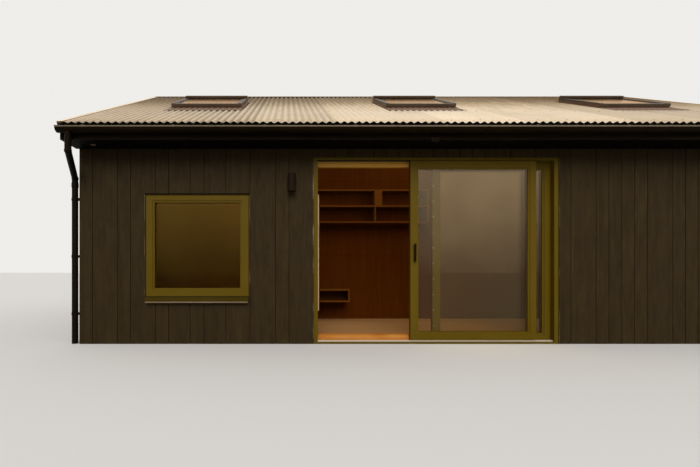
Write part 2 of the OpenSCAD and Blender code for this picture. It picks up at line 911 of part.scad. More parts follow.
module bookcase() {
    x0 = door_x - bookcase_left;
    y0 = room_back - shelf_d;
    color(ply) for (i = [0 : 2])
        block([x0, y0, bookcase_z + i * shelf_step],
            [x0 + bookcase_w, room_back, bookcase_z + i * shelf_step + shelf_t]);
    upper_z = bookcase_z + shelf_step;
    top_z = upper_z + shelf_step;
    for (x = [0, bookcase_w - shelf_t, bookcase_upright])
        color(ply) block([x0 + x, y0, bookcase_z], [x0 + x + shelf_t, room_back, top_z]);
    color(ply) block([x0 + bookcase_upright, y0, upper_z],
        [x0 + bookcase_upright + shelf_box_w, room_back, top_z]);
}

module console() {
    x0 = door_x - bookcase_left;
    y0 = room_back - console_d;
    color(ply) difference() {
        block([x0, y0, console_z], [x0 + console_w, room_back, console_z + console_h]);
        block([x0 + shelf_t, y0 - 1, console_z + shelf_t],
            [x0 + console_w - shelf_t, room_back - ply_t, console_z + console_h - shelf_t]);
    }
}

floor();
front_wall_left();
front_wall_over_door();
front_wall_right();
back_wall();
left_gable_wall();
right_gable_wall();
inner_wall();
front_cladding();
back_cladding();
gable_cladding();
wall_linings();
ceiling();
roof_deck_front();
roof_deck_back();
roof_sheets_front();
roof_sheets_back();
ridge_cap();
verge_trims();
barge_boards();
fascia_boards();
soffits();
front_gutter();
back_gutter();
gutter_straps();
downpipes();
roof_window_frames();
roof_window_glass();
roof_window_flashings();
window_frame();
window_glass();
window_sill();
door_frame();
door_track();
door_threshold();
door_head_board();
fixed_panel();
fixed_glass();
sliding_panel();
sliding_glass();
door_handle();
door_rollers();
wall_light();
soffit_lights();
eaves_sensor();
bookcase();
console();
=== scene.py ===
import math
import random

import bmesh
import bpy
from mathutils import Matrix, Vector


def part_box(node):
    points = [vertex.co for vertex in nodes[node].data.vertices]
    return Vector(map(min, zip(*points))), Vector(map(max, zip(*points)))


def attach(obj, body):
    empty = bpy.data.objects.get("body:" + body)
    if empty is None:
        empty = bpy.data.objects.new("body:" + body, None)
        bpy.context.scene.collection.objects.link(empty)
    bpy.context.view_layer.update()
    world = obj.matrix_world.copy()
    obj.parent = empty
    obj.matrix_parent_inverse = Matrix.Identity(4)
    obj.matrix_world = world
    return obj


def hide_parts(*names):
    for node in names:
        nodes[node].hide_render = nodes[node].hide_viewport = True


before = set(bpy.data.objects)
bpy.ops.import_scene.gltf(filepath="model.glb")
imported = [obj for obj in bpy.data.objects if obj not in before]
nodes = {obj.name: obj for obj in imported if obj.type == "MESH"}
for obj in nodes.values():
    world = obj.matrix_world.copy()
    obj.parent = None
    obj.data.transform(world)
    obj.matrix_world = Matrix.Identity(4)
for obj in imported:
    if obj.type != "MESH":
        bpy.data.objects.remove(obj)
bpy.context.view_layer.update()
scene = bpy.context.scene
scene.view_settings.view_transform = "Standard"
rng = random.Random(7)

# Camera: level, and shifted so that the horizon and the vanishing point lie where the photo has them
PHOTO_W_PX, PHOTO_H_PX = 700.0, 467.0
FOCAL_PX = 430.0
VANISHING_X_PX, HORIZON_Y_PX = 287.5, 269.0
EYE = (-1.845, -7.809, 0.8475)
SENSOR_MM = 36.0
VIEW_DEPTH = 300.0

camera_data = bpy.data.cameras.new("camera")
camera_data.sensor_width = SENSOR_MM
camera_data.lens = FOCAL_PX / PHOTO_W_PX * SENSOR_MM
camera_data.shift_x = (PHOTO_W_PX / 2 - VANISHING_X_PX) / PHOTO_W_PX
camera_data.shift_y = (HORIZON_Y_PX - PHOTO_H_PX / 2) / PHOTO_W_PX
camera_data.clip_end = VIEW_DEPTH
camera = bpy.data.objects.new("camera", camera_data)
camera.location = EYE
camera.rotation_euler = (math.radians(90), 0, 0)
scene.collection.objects.link(camera)
scene.camera = camera


# Node helpers

def new_material(name):
    m = bpy.data.materials.new(name)
    m.use_nodes = True
    return m, m.node_tree, m.node_tree.nodes["Principled BSDF"]


def add(nt, kind, values=None, **settings):
    """A new node, with its settings and the values of its inputs."""
    n = nt.nodes.new(kind)
    for key, value in settings.items():
        setattr(n, key, value)
    for key, value in (values or {}).items():
        n.inputs[key].default_value = value
    return n


def feed(nt, n, index, v):
    """Puts a number, a colour or another node's output into an input."""
    if isinstance(v, tuple):
        n.inputs[index].default_value = (v[0], v[1], v[2], 1)
    elif isinstance(v, (int, float)):
        n.inputs[index].default_value = v
    else:
        nt.links.new(v, n.inputs[index])


def math_node(nt, operation, *terms):
    n = add(nt, "ShaderNodeMath", operation=operation)
    for i, v in enumerate(terms):
        feed(nt, n, i, v)
    return n.outputs[0]


def mix(nt, fac, a, b, blend="MIX"):
    n = add(nt, "ShaderNodeMix", data_type="RGBA", blend_type=blend)
    for i, v in ((0, fac), (6, a), (7, b)):
        feed(nt, n, i, v)
    return n.outputs[2]


def ramp(nt, fac, stops):
    """A colour ramp over stops of (place, colour)."""
    n = nt.nodes.new("ShaderNodeValToRGB")
    nt.links.new(fac, n.inputs[0])
    e = n.color_ramp.elements
    while len(e) < len(stops):
        e.new(0.5)
    for el, (p, c) in zip(e, stops):
        el.position = p
        el.color = (c[0], c[1], c[2], 1)
    return n.outputs[0]


def grey(v):
    return (v, v, v)


def attribute(nt, name, output="Fac"):
    return add(nt, "ShaderNodeAttribute", attribute_name=name).outputs[output]


def component(nt, vector, axis):
    n = nt.nodes.new("ShaderNodeSeparateXYZ")
    nt.links.new(vector, n.inputs[0])
    return n.outputs[axis]


def coords(nt, scale=(1, 1, 1), offset=True):
    """Object coordinates, scaled, and shifted for each board by its own amount."""
    tc = nt.nodes.new("ShaderNodeTexCoord")
    mp = nt.nodes.new("ShaderNodeMapping")
    mp.inputs["Scale"].default_value = scale
    nt.links.new(tc.outputs["Object"], mp.inputs["Vector"])
    if not offset:
        return mp.outputs[0]
    total = add(nt, "ShaderNodeVectorMath", operation="ADD")
    nt.links.new(mp.outputs[0], total.inputs[0])
    nt.links.new(attribute(nt, "shift", "Vector"), total.inputs[1])
    return total.outputs[0]


def noise(nt, vector, scale, detail=4.0, rough=0.55, distortion=0.0):
    n = add(nt, "ShaderNodeTexNoise",
            {"Scale": scale, "Detail": detail, "Roughness": rough, "Distortion": distortion})
    nt.links.new(vector, n.inputs["Vector"])
    return n.outputs["Fac"]


def cells(nt, vector, scale):
    """How far each point lies from the heart of its cell."""
    n = add(nt, "ShaderNodeTexVoronoi", {"Scale": scale, "Randomness": 1.0})
    nt.links.new(vector, n.inputs["Vector"])
    return n.outputs["Distance"]


def swing(nt, field, strength):
    """A noise field of zero to one, as a swing of half the strength either way."""
    return math_node(nt, "MULTIPLY", math_node(nt, "SUBTRACT", field, 0.5), strength)


def bump(nt, bsdf, height, strength, distance):
    n = add(nt, "ShaderNodeBump", {"Strength": strength, "Distance": distance})
    nt.links.new(height, n.inputs["Height"])
    nt.links.new(n.outputs[0], bsdf.inputs["Normal"])


# Boards

JOINT_W = 0.005
# Tone that marks the backing in the seams, which gets painted shade
SEAM_SHADE_TONE = -1.0


def knot_field(nt, scale):
    """One at the heart of a knot, and zero away from it."""
    place = coords(nt, tuple(1.0 if s > 0.5 else 0.45 for s in scale))
    return ramp(nt, cells(nt, place, 3.2), [(0.03, grey(1.0)), (0.10, grey(0.35)), (0.22, grey(0.0))])


def wisp_field(nt, strength):
    """Soft wisps in each board, a little lighter and darker than the rest."""
    haze = noise(nt, coords(nt, (1.0, 1.0, 0.45)), 7.0, distortion=1.2)
    return ramp(nt, haze, [(0.34, grey(1.0 - strength)), (0.50, grey(1.0)), (0.66, grey(1.0 + strength))])


def joint_lines(nt, axis, step, start):
    """One on each joint of a face that is boarded along an axis, and zero between them."""
    tc = nt.nodes.new("ShaderNodeTexCoord")
    at = math_node(nt, "SUBTRACT", component(nt, tc.outputs["Object"], axis), start)
    along = math_node(nt, "FRACT", math_node(nt, "DIVIDE", at, step))
    return math_node(nt, "LESS_THAN", along, JOINT_W / step)


def board_material(name, dark, mid, pale, scale, rough=(0.55, 0.8), bump_strength=0.5, joints=None,
                   level=0.12, knots=0.0, spread=0.68, figure=0.30, wisps=0.0):
    """Sawn or sanded boards: stretched grain, curling figure, knots, a tone for each board."""
    m, nt, bsdf = new_material(name)
    place = coords(nt, scale)
    grain = noise(nt, place, 34.0, 6.0, 0.65)
    rings = noise(nt, place, 4.5, 3.0, 0.5, 1.4)
    streak = noise(nt, place, 90.0, 2.0, 0.5)
    waves = math_node(nt, "PINGPONG", math_node(nt, "MULTIPLY", rings, 9.0), 1.0)
    total = math_node(nt, "ADD", math_node(nt, "MULTIPLY", grain, 1.02 - figure),
                      math_node(nt, "MULTIPLY", waves, figure))
    if knots:
        total = math_node(nt, "SUBTRACT", total, math_node(nt, "MULTIPLY", knot_field(nt, scale), knots))
    base = ramp(nt, total, [(0.25, dark), (0.5, mid), (0.8, pale)])
    tone = attribute(nt, "tone")
    toned = mix(nt, 1.0, base, ramp(nt, tone, [(0.0, grey(spread)), (1.0, grey(1.0))]), "MULTIPLY")
    if wisps:
        toned = mix(nt, 1.0, toned, wisp_field(nt, wisps), "MULTIPLY")
    # The backing in the seams is painted as shade: 0.22 of the dark grain colour
    seam_shade = math_node(nt, "LESS_THAN", tone, SEAM_SHADE_TONE / 2)
    toned = mix(nt, seam_shade, toned, tuple(0.22 * c for c in dark))
    if joints:
        line = joint_lines(nt, *joints)
        toned = mix(nt, line, toned, tuple(0.25 * c for c in dark))
        total = math_node(nt, "SUBTRACT", total, math_node(nt, "MULTIPLY", line, 3.0))
    nt.links.new(toned, bsdf.inputs["Base Color"])
    gloss = ramp(nt, streak, [(0.3, grey(rough[0])), (0.7, grey(rough[1]))])
    nt.links.new(gloss, bsdf.inputs["Roughness"])
    bsdf.inputs["Specular IOR Level"].default_value = level
    bump(nt, bsdf, total, bump_strength, 0.0015)
    return m


# Metal

def painted_metal(name, colour, wear_and_glint, rough=0.45, metallic=0.0, speck=0.35, level=0.4, patch=(0.42, 0.72)):
    """Coated metal: a faint orange peel, dust that gathers in patches, a little fading; on the edge metal
    the pale patches are painted glints.
    """
    m, nt, bsdf = new_material(name)
    place = coords(nt, offset=False)
    cloud = noise(nt, place, 3.0, 5.0, 0.6)
    dust_and_glint = ramp(nt, cloud, [(patch[0], grey(0.0)), (patch[1], grey(speck))])
    nt.links.new(mix(nt, dust_and_glint, colour, wear_and_glint), bsdf.inputs["Base Color"])
    gloss = ramp(nt, cloud, [(0.3, grey(rough - 0.08)), (0.7, grey(rough + 0.12))])
    nt.links.new(gloss, bsdf.inputs["Roughness"])
    bsdf.inputs["Metallic"].default_value = metallic
    bsdf.inputs["Specular IOR Level"].default_value = level
    bump(nt, bsdf, noise(nt, place, 240.0, 2.0, 0.5), 0.08, 0.0004)
    return m


def sheet_material(name):
    """Weathered corrugated sheet: hollows paler than the crests as painted light on clean sheets, and
    darker with dirt and painted shade on dirty ones, streaks down the slope, spangle, a tone a sheet, and a
    painted dark reflection towards the ridge.
    """
    m, nt, bsdf = new_material(name)
    place = coords(nt, offset=False)
    streak = noise(nt, coords(nt, (1.0, 0.12, 0.12)), 26.0, 5.0, 0.6)
    cloud = noise(nt, place, 1.6)
    spangle = cells(nt, place, 130.0)
    low = math_node(nt, "ADD", attribute(nt, "crest"), swing(nt, streak, 0.8))
    # Dirty sheets: hollows darker than the crests, with dirt and painted shade
    dirt_and_shade_colours = ramp(nt, low, [(0.05, (0.40, 0.320, 0.225)), (0.45, (0.68, 0.560, 0.410)),
                           (0.85, (0.90, 0.750, 0.565))])
    # Clean sheets: hollows paler than the crests, painted light against the shade that falls in them
    clean_and_painted_light = ramp(nt, low, [(0.0, (0.95, 0.800, 0.605)), (0.5, (0.92, 0.770, 0.580)),
                           (1.0, (0.82, 0.685, 0.515))])
    base = mix(nt, attribute(nt, "dirt_and_shade"), clean_and_painted_light, dirt_and_shade_colours)
    shade = ramp(nt, attribute(nt, "tone"), [(0.0, (0.62, 0.60, 0.57)), (1.0, grey(1.0))])
    base = mix(nt, 1.0, base, shade, "MULTIPLY")
    base = mix(nt, ramp(nt, cloud, [(0.45, grey(0.0)), (0.78, grey(0.20))]), base, (0.36, 0.27, 0.18))
    # Painted reflection: the sheet darkens towards the ridge, as with the dark reflection seen at a grazing
    # view
    rise = math_node(nt, "ADD", attribute(nt, "up"), swing(nt, streak, 0.35))
    ridge_painted_reflection = ramp(nt, rise, [(0.28, grey(1.0)), (0.44, (0.86, 0.83, 0.77)), (0.58, (0.62, 0.57, 0.49)),
                            (0.72, (0.39, 0.335, 0.26)), (1.0, (0.23, 0.185, 0.13))])
    nt.links.new(mix(nt, 1.0, base, ridge_painted_reflection, "MULTIPLY"), bsdf.inputs["Base Color"])
    bsdf.inputs["Specular IOR Level"].default_value = 0.02
    nt.links.new(ramp(nt, spangle, [(0.0, grey(0.42)), (0.8, grey(0.56))]), bsdf.inputs["Roughness"])
    bump(nt, bsdf, spangle, 0.05, 0.0004)
    return m


# Glass

def rising_reflection_field(nt, low, high, top_reflection):
    """A share of gloss, a painted reflection, that grows from the height low to the height high."""
    place = coords(nt, offset=False)
    cloud = swing(nt, noise(nt, place, 2.6, 4.0, 0.6), 0.5)
    up = math_node(nt, "DIVIDE", math_node(nt, "SUBTRACT", component(nt, place, 2), low), high - low)
    return ramp(nt, math_node(nt, "ADD", up, cloud), [(0.0, grey(0.0)), (1.0, grey(top_reflection))])


def glass_material(name, tint, gain, least, reflection_colour, rough=0.02, rise=None):
    """Clear glass: what shows through it, and a gloss in a painted reflection colour, which a painted
    reflection adds to with height.
    """
    m, nt, bsdf = new_material(name)
    nt.nodes.remove(bsdf)
    clear = add(nt, "ShaderNodeBsdfTransparent", {"Color": (*tint, 1)})
    # The gloss is tinted in the reflection colour: a painted colour of what the glass reflects
    gloss = add(nt, "ShaderNodeBsdfAnisotropic", {"Color": (*reflection_colour, 1), "Roughness": rough})
    fresnel = add(nt, "ShaderNodeFresnel", {"IOR": 1.5})
    share = math_node(nt, "MULTIPLY_ADD", fresnel.outputs[0], gain, least)
    if rise:
        share = math_node(nt, "ADD", share, rising_reflection_field(nt, *rise))
    share.node.use_clamp = True
    both = nt.nodes.new("ShaderNodeMixShader")
    for i, source in enumerate((share, clear.outputs[0], gloss.outputs[0])):
        nt.links.new(source, both.inputs[i])
    nt.links.new(both.outputs[0], nt.nodes["Material Output"].inputs["Surface"])
    return m


# The grain runs along the axis with the small scale
ALONG_X = (0.06, 1.0, 1.0)
ALONG_Z = (1.0, 1.0, 0.05)

# Boards and panels; joints are (axis, step, start)
black_boards = board_material("black_boards", (0.0235, 0.0142, 0.0040), (0.0330, 0.0200, 0.0058),
                              (0.0440, 0.0280, 0.0095), (1.0, 1.0, 0.10), (0.6, 0.8), 0.35, knots=0.30,
                              spread=0.86, figure=0.22, wisps=0.10)
black_trim = board_material("black_trim", (0.0072, 0.0044, 0.0014), (0.0130, 0.0080, 0.0026),
                            (0.0210, 0.0135, 0.0050), ALONG_X, level=0.04)
# Black-stained soffit boards, darkened far below the other black boards as painted shade under the eaves
shaded_soffit_boards = board_material("shaded_soffit_boards", (0.0008, 0.0006, 0.0003), (0.0016, 0.0011, 0.0006),
                               (0.0030, 0.0021, 0.0011), ALONG_X, joints=(1, 0.1107, -3.282), level=0.03)
ply_wall = board_material("ply_wall", (0.092, 0.022, 0.0008), (0.122, 0.030, 0.0014),
                          (0.150, 0.041, 0.003), ALONG_Z, (0.42, 0.55), 0.10,
                          joints=(2, 1.22, -0.161), level=0.01, figure=0.12)
ply_lining = board_material("ply_lining", (0.140, 0.037, 0.002), (0.190, 0.053, 0.004),
                            (0.235, 0.073, 0.008), ALONG_Z, (0.42, 0.55), 0.10, level=0.01, figure=0.12)
ply_shelf = board_material("ply_shelf", (0.150, 0.046, 0.003), (0.205, 0.066, 0.005),
                           (0.265, 0.092, 0.010), (0.05, 1.0, 1.0), (0.40, 0.52), 0.10, level=0.015,
                           figure=0.12)
sill_timber = board_material("sill_timber", (0.560, 0.180, 0.026), (0.780, 0.300, 0.052),
                             (0.900, 0.410, 0.100), (0.07, 1.0, 1.0), (0.45, 0.6), 0.3, knots=0.6,
                             level=0.08)
# Pale timber of the head board, raised paler still as painted light for the light the deck throws up onto
# it
lit_head_timber = board_material("lit_head_timber", (0.800, 0.390, 0.058), (0.970, 0.500, 0.085),
                             (0.990, 0.580, 0.120), (0.05, 1.0, 1.0), (0.45, 0.6), 0.2, level=0.06)
framing = board_material("framing", (0.30, 0.18, 0.09), (0.40, 0.26, 0.14), (0.50, 0.35, 0.20),
                         (1.0, 1.0, 0.08), (0.6, 0.75), 0.3)
floor_finish = board_material("floor_finish", (0.53, 0.270, 0.100), (0.62, 0.325, 0.128),
                              (0.69, 0.375, 0.155), (0.07, 1.0, 1.0), (0.35, 0.5), 0.06,
                              joints=(1, 0.19, -2.78), level=0.08)

# Metals, paints, rubber and plastic
roof_metal = sheet_material("roof_metal")
verge_metal = painted_metal("verge_metal", (0.86, 0.700, 0.500), (0.55, 0.42, 0.28), 0.5, speck=0.5,
                            level=0.05)
strip_metal = painted_metal("strip_metal", (0.54, 0.375, 0.235), (0.30, 0.20, 0.13), 0.4, 0.1, 0.6, 0.2)
ridge_metal = painted_metal("ridge_metal", (0.20, 0.150, 0.095), (0.30, 0.22, 0.14), 0.5, speck=0.6,
                            level=0.05)
trim_metal = painted_metal("trim_metal", (0.62, 0.500, 0.365), (0.36, 0.27, 0.18), speck=0.6, level=0.1)
# Pale bead and hooks: a painted highlight on the gutter's lip
bead_highlight_metal = painted_metal("bead_highlight_metal", (0.290, 0.225, 0.150), (0.42, 0.33, 0.22), 0.4, 0.1, 0.5, 0.25)
drip_metal = painted_metal("drip_metal", (0.19, 0.130, 0.075), (0.28, 0.20, 0.12), 0.4, 0.1, 0.5, 0.2)
window_metal = painted_metal("window_metal", (0.080, 0.052, 0.031), (0.16, 0.12, 0.080), 0.42, level=0.2)
flashing_metal = painted_metal("flashing_metal", (0.160, 0.088, 0.050), (0.23, 0.150, 0.095), level=0.12)
black_metal = painted_metal("black_metal", (0.0088, 0.0050, 0.0016), (0.020, 0.012, 0.005), 0.42,
                            level=0.03)
lamp_metal = painted_metal("lamp_metal", (0.0150, 0.0085, 0.0045), (0.030, 0.019, 0.011), 0.42,
                           level=0.03)
olive_paint = painted_metal("olive_paint", (0.109, 0.0680, 0.0024), (0.135, 0.092, 0.010), 0.46,
                            level=0.08)
# The sill in the olive of the frames at half brightness: painted shade on the sill
shaded_sill_paint = painted_metal("shaded_sill_paint", (0.052, 0.0320, 0.0012), (0.075, 0.050, 0.006), 0.5, level=0.05)
# Dark paint of the strips beside the frames: painted shade in the gap
gap_shade_paint = painted_metal("gap_shade_paint", (0.030, 0.0200, 0.0030), (0.045, 0.032, 0.008), 0.6, level=0.05)
steel = painted_metal("steel", (0.66, 0.56, 0.44), (0.42, 0.34, 0.25), 0.35, 0.6)
rubber = painted_metal("rubber", (0.008, 0.007, 0.006), (0.02, 0.017, 0.013), 0.7, level=0.1)
lens_plastic = painted_metal("lens_plastic", (0.30, 0.22, 0.13), (0.20, 0.14, 0.09), 0.4, level=0.1)
# Dark metal edge whose pale patches are painted glints
glinting_edge_metal = painted_metal("glinting_edge_metal", (0.030, 0.021, 0.010), (0.30, 0.24, 0.14), 0.45, 0.1, 1.0, 0.2,
                           (0.46, 0.70))

# Glass; rise is (from height, to height, top_reflection): a painted reflection that grows with height
glass_window = glass_material("glass_window", (0.80, 0.68, 0.50), 0.30, 0.0, (1.0, 0.66, 0.14),
                              rise=(0.7, 1.8, 0.052))
glass_door = glass_material("glass_door", (0.94, 0.92, 0.84), 0.50, 0.0, (1.0, 0.80, 0.54),
                            rise=(0.8, 2.1, 0.070))
glass_roof = glass_material("glass_roof", (0.70, 0.58, 0.42), 1.0, 0.10, (0.90, 0.60, 0.36), 0.22)

# What each CAD node that stays is made of
looks = {
    framing: ("front_wall_left", "front_wall_over_door", "front_wall_right", "back_wall",
              "left_gable_wall", "right_gable_wall", "roof_deck_front", "roof_deck_back"),
    floor_finish: ("floor",),
    ply_wall: ("inner_wall",),
    ply_lining: ("wall_linings", "ceiling"),
    ply_shelf: ("bookcase", "console"),
    sill_timber: ("door_threshold",),
    lit_head_timber: ("door_head_board",),
    black_trim: ("barge_boards", "fascia_boards"),
    shaded_soffit_boards: ("soffits",),
    ridge_metal: ("ridge_cap",),
    verge_metal: ("verge_trims",),
    black_metal: ("front_gutter", "back_gutter", "gutter_straps", "downpipes", "door_handle",
                  "eaves_sensor"),
    lamp_metal: ("wall_light",),
    lens_plastic: ("soffit_lights",),
    window_metal: ("roof_window_frames",),
    flashing_metal: ("roof_window_flashings",),
    glass_roof: ("roof_window_glass",),
    olive_paint: ("window_frame", "door_frame", "fixed_panel", "sliding_panel"),
    shaded_sill_paint: ("window_sill",),
    glass_window: ("window_glass",),
    glass_door: ("fixed_glass", "sliding_glass"),
    steel: ("door_track", "door_rollers"),
}

# How wide the eased edges of some nodes are
edges = {
    "barge_boards": 0.002, "fascia_boards": 0.003, "window_frame": 0.002, "window_sill": 0.002,
    "door_frame": 0.002, "fixed_panel": 0.002, "sliding_panel": 0.002, "door_threshold": 0.003,
    "door_head_board": 0.001, "bookcase": 0.001, "console": 0.001, "roof_window_frames": 0.0015,
}


def ease_edges(o, width):
    b = o.modifiers.new("edges", "BEVEL")
    b.width = width
    b.segments = 2
    b.limit_method = "ANGLE"
    b.angle_limit = math.radians(35)


def dress_cad_nodes():
    for material, names in looks.items():
        for name in names:
            o = nodes[name]
            if not o.material_slots:
                o.data.materials.append(material)
            for s in o.material_slots:
                s.material = material
            if name in edges:
                ease_edges(o, edges[name])


dress_cad_nodes()


# Mesh helpers

class Piece:
    """Gathers prisms and turned forms into one mesh, with a tone and a grain shift for each."""

    def __init__(self, name):
        self.name = name
        self.bm = bmesh.new()
        self.tone = self.bm.faces.layers.float.new("tone")
        self.shift = self.bm.faces.layers.float_vector.new("shift")

    def mark(self, faces, tone=None):
        t = rng.random() if tone is None else tone
        s = Vector((rng.uniform(-9, 9), rng.uniform(-9, 9), rng.uniform(-9, 9)))
        for f in faces:
            f[self.tone] = t
            f[self.shift] = s

    def prism(self, outline, place, d0, d1, tone=None):
        """outline: points (u, w); place(u, w, d): the point in space at depth d."""
        a = [self.bm.verts.new(place(u, w, d0)) for u, w in outline]
        b = [self.bm.verts.new(place(u, w, d1)) for u, w in outline]
        faces = [self.bm.faces.new(a), self.bm.faces.new(b[::-1])]
        for i in range(len(a)):
            j = (i + 1) % len(a)
            faces.append(self.bm.faces.new((a[j], a[i], b[i], b[j])))
        self.mark(faces, tone)

    def box(self, low, high):
        corners = [(low[0], low[2]), (high[0], low[2]), (high[0], high[2]), (low[0], high[2])]
        self.prism(corners, lambda u, w, d: (u, d, w), low[1], high[1])

    def turned(self, profile, origin, axis, side, steps, tone=0.8):
        """A turned form: profile gives (distance along the axis, radius)."""
        axis = Vector(axis).normalized()
        side = Vector(side).normalized()
        other = axis.cross(side)
        angles = [2 * math.pi * i / steps for i in range(steps)]
        spokes = [side * math.cos(a) + other * math.sin(a) for a in angles]
        rings = [[self.bm.verts.new(Vector(origin) + axis * t + spoke * r) for spoke in spokes]
                 for t, r in profile]
        faces = [self.bm.faces.new(rings[0][::-1]), self.bm.faces.new(rings[-1])]
        for p, q in zip(rings, rings[1:]):
            for i in range(steps):
                j = (i + 1) % steps
                faces.append(self.bm.faces.new((p[i], p[j], q[j], q[i])))
        self.mark(faces, tone)

    def done(self, material, replaces=None, bevel=0.0, smooth=False):
        bmesh.ops.recalc_face_normals(self.bm, faces=self.bm.faces)
        me = bpy.data.meshes.new(self.name)
        self.bm.to_mesh(me)
        self.bm.free()
        me.materials.append(material)
        o = bpy.data.objects.new(self.name, me)
        scene.collection.objects.link(o)
        if bevel:
            ease_edges(o, bevel)
        if smooth:
            for p in me.polygons:
                p.use_smooth = True
        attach(o, "building")
        if replaces:
            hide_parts(replaces)


def boxes(name, material, corners, bevel=0.0):
    """A piece of plain bars, each from its low corner to its high one."""
    p = Piece(name)
    for low, high in corners:
        p.box(low, high)
    p.done(material, bevel=bevel)


# Places of the CAD solids
HALF_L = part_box("gable_cladding")[1][0]
HALF_D = -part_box("front_cladding")[0][1]
FRONT = -HALF_D
ROOF_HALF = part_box("fascia_boards")[1][0]
SLOPE_Y = -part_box("roof_deck_front")[0][1]
SOFFIT_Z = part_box("roof_deck_front")[0][2]
PITCH = math.radians(25.5)
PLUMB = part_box("roof_deck_front")[1][2] - SOFFIT_Z - SLOPE_Y * math.tan(PITCH)
DOOR_LOW, DOOR_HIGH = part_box("door_frame")
DOOR_X, DOOR_RIGHT, DOOR_H = DOOR_LOW[0], DOOR_HIGH[0], DOOR_HIGH[2]
WIN_LOW, WIN_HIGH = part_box("window_frame")
WIN_LEFT, WIN_RIGHT, WIN_SILL, WIN_HEAD = WIN_LOW[0], WIN_HIGH[0], WIN_LOW[2], WIN_HIGH[2]
GUTTER_LOW, GUTTER_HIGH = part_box("front_gutter")
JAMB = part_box("door_track")[0][0]
FIXED_LOW, FIXED_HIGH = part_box("fixed_panel")


# Upright boards, each with a dark backing in the seams, painted darker still as the shade that falls in the
# seams

BOARD_T = 0.020
BACKING_FROM = 0.012
BOARD_BACK = 0.0125
MOST_SET_BACK = 0.0012
SEAM_HALF = 0.0025
TOP_GAP = 0.001
BOARD_WIDTHS = (0.145, 0.145, 0.245, 0.285)
LEAST_WIDTH = 0.08
LEAST_REST = 0.02

# Seams of the front left of the door, where the photo shows them
LEFT_SEAMS = [-HALF_L, -4.05, -3.765, -3.62, -3.335, -3.19, -2.945, -2.79, -2.542, -2.269, -1.979,
              -1.828, DOOR_X]


def under_deck(u):
    """Height of the underside of the roof deck at u from the middle of the building's depth."""
    return SOFFIT_Z + (SLOPE_Y - abs(u)) * math.tan(PITCH) - TOP_GAP


def under_eaves(u):
    return under_deck(HALF_D)


def random_seams(start, end):
    seams = [start]
    while seams[-1] < end - LEAST_REST:
        seams.append(min(seams[-1] + rng.choice(BOARD_WIDTHS), end))
    if end - seams[-2] < LEAST_WIDTH:
        seams.pop(-2)
    seams[-1] = end
    return seams


def whole_board(a, b, foot, top):
    """A board from a to b, with a point on the ridge where it crosses that."""
    crown = [(0.0, top(0.0))] if a < 0 < b and top is under_deck else []
    return [(a, foot), (b, foot), (b, top(b))] + crown + [(a, top(a))]


def board_outlines(a, b, top, hole):
    """The outline or outlines of a board from a to b, less the part of hole (left, right, foot, head)."""
    if hole is None:
        return [whole_board(a, b, 0.0, top)]
    left, right, foot, head = hole
    if a >= left and b <= right:
        parts = [whole_board(a, b, head, top)]
        if foot > 0:
            parts.append([(a, 0.0), (b, 0.0), (b, foot), (a, foot)])
        return parts
    if a < left:
        low = [(a, 0.0), (b, 0.0), (b, foot), (left, foot)] if foot > 0 else [(a, 0.0), (left, 0.0)]
        return [low + [(left, head), (b, head), (b, top(b)), (a, top(a))]]
    low = [(right, foot), (a, foot), (a, 0.0)] if foot > 0 else [(right, 0.0)]
    return [[(b, 0.0), (b, top(b)), (a, top(a)), (a, head), (right, head)] + low]


def narrowed(outline, a, b):
    """The outline with its two long edges drawn in by half a seam."""
    inset = {a: SEAM_HALF, b: -SEAM_HALF}
    return [(u + inset.get(u, 0.0), w) for u, w in outline]


def boards(name, node, place, seams, top, holes=()):
    p = Piece(name)
    for a, b in zip(seams, seams[1:]):
        hole = next((h for h in holes if b > h[0] and a < h[1]), None)
        tone = rng.random()
        set_back = rng.uniform(0.0, MOST_SET_BACK)
        for outline in board_outlines(a, b, top, hole):
            p.prism(outline, place, BACKING_FROM, BOARD_T, SEAM_SHADE_TONE)
            p.prism(narrowed(outline, a, b), place, set_back, BOARD_BACK, tone)
    p.done(black_boards, node, 0.0016)


def front_boards():
    seams = LEFT_SEAMS + random_seams(DOOR_X, DOOR_RIGHT)[1:] + random_seams(DOOR_RIGHT, HALF_L)[1:]
    window = (WIN_LEFT, WIN_RIGHT, WIN_SILL, WIN_HEAD)
    door = (DOOR_X, DOOR_RIGHT, -1.0, DOOR_H)
    boards("front_boards", "front_cladding", lambda u, w, d: (u, FRONT + d, w), seams, under_eaves,
           (window, door))


def gable_boards(side, name):
    seams = random_seams(BOARD_T - HALF_D, HALF_D - BOARD_T)
    boards(name, "gable_cladding", lambda u, w, d: (side * (HALF_L - d), u, w), seams, under_deck)


front_boards()
boards("back_boards", "back_cladding", lambda u, w, d: (u, HALF_D - d, w), random_seams(-HALF_L, HALF_L),
       under_eaves)
gable_boards(-1, "gable_boards_left")
gable_boards(1, "gable_boards_right")


# Corrugated sheets, with the front ones cut round the roof windows

